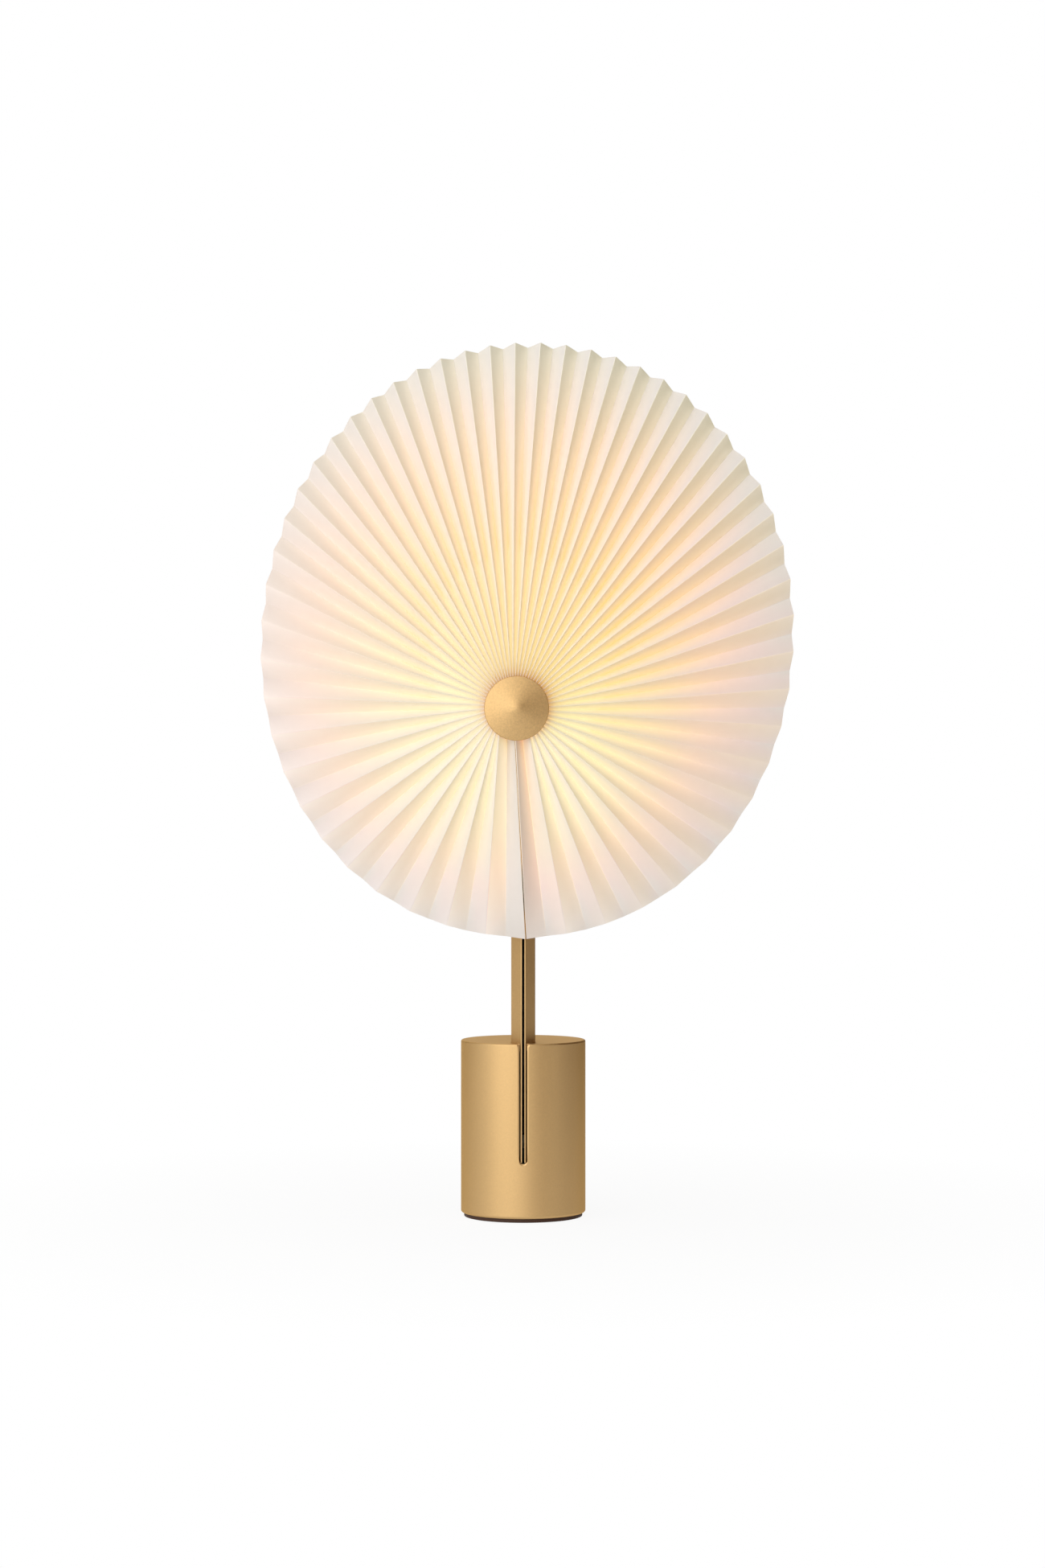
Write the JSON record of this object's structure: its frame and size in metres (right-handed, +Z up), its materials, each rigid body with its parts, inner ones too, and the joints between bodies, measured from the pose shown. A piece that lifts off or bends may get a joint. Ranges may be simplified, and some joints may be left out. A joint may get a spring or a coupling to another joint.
{
  "type": "portable table lamp",
  "caption": "Cordless table lamp: a weighted drum base holds a slit stem with a light behind an oval pleated rosette shade that turns on its hub.",
  "frame": {"origin": "centre of the drum's foot, on the surface that the lamp stands on", "axes": "+Z up along the drum's axis; the lamp's front, with the rosette, looks along -Y; +X is to the right seen from the front"},
  "size_m": [0.2178, 0.0672, 0.3601],
  "materials": {
    "champagne_metal": "satin champagne lacquer over a fine blasted grain",
    "champagne_stem": "satin champagne lacquer on an extruded profile",
    "pleated_laminate": "ivory pleated laminate, matt, lets light through",
    "foot_brown": "dark brown matt",
    "plate_steel": "zinc plated",
    "ballast_iron": "blackened",
    "screw_steel": "plain",
    "socket_alloy": "as machined",
    "spindle_steel": "ground",
    "nut_brass": "plain",
    "washer_fibre": "plain",
    "core_white": "moulded",
    "head_bronze": "dark bronze, satin",
    "board_green": "laminate with solder mask",
    "board_white": "laminate with white solder mask",
    "chip_black": "moulded",
    "emitter_warm": "phosphor under resin",
    "diffuser_opal": "opal",
    "cell_sleeve": "heat-shrink sleeve",
    "tab_nickel": "plain",
    "holder_black": "moulded",
    "pad_foam": "closed cell",
    "inlet_steel": "drawn",
    "pipe_clear": "clear",
    "switch_grey": "moulded",
    "lead_sleeve": "dark brown, so that it does not show in the stem's slit",
    "connector_ivory": "moulded"
  },
  "bodies": {
    "stand": {"foot_pad": "foot_brown", "base_plate": "plate_steel", "ballast_weight": "ballast_iron", "tie_screws": "screw_steel", "base_shell": "champagne_metal", "stem_socket": "socket_alloy", "socket_screws": "screw_steel", "stem_set_screws": "screw_steel", "stem": "champagne_stem", "cell_holder": "holder_black", "battery_cells": "cell_sleeve", "cell_tabs": "tab_nickel", "cell_retainer": "holder_black", "retainer_pad": "pad_foam", "charge_board": "board_green", "charge_parts": "chip_black", "usb_c_inlet": "inlet_steel", "light_pipe": "pipe_clear", "switch_body": "switch_grey", "driver_board": "board_green", "driver_parts": "chip_black", "lead_connector": "connector_ivory", "led_lead": "lead_sleeve", "head_block": "head_bronze", "led_housing": "champagne_metal", "housing_screws": "screw_steel", "led_board": "board_white", "led_emitters": "emitter_warm", "diffuser_ring": "diffuser_opal", "rear_cap": "champagne_metal", "hub_spindle": "spindle_steel", "friction_washer": "washer_fibre", "disc_spring": "spindle_steel", "retaining_nut": "nut_brass"},
    "rosette": {"pleated_shade": "pleated_laminate", "hub_core": "core_white", "front_clamp_ring": "core_white", "hub_cap": "champagne_metal"},
    "button": {"power_button": "champagne_metal", "switch_plunger": "switch_grey"}
  },
  "joints": [
    {"name": "rosette_turn", "type": "hinge", "parent": "stand", "child": "rosette", "pos_m": [-0.0027, -0.031, 0.211], "axis": [0, -1, 0], "continuous": true},
    {"name": "button_press", "type": "slide", "parent": "stand", "child": "button", "axis": [0, -1, 0], "range_m": [0, 0.0006], "stiffness_N_per_m": 2500, "springref_m": -0.0002}
  ]
}
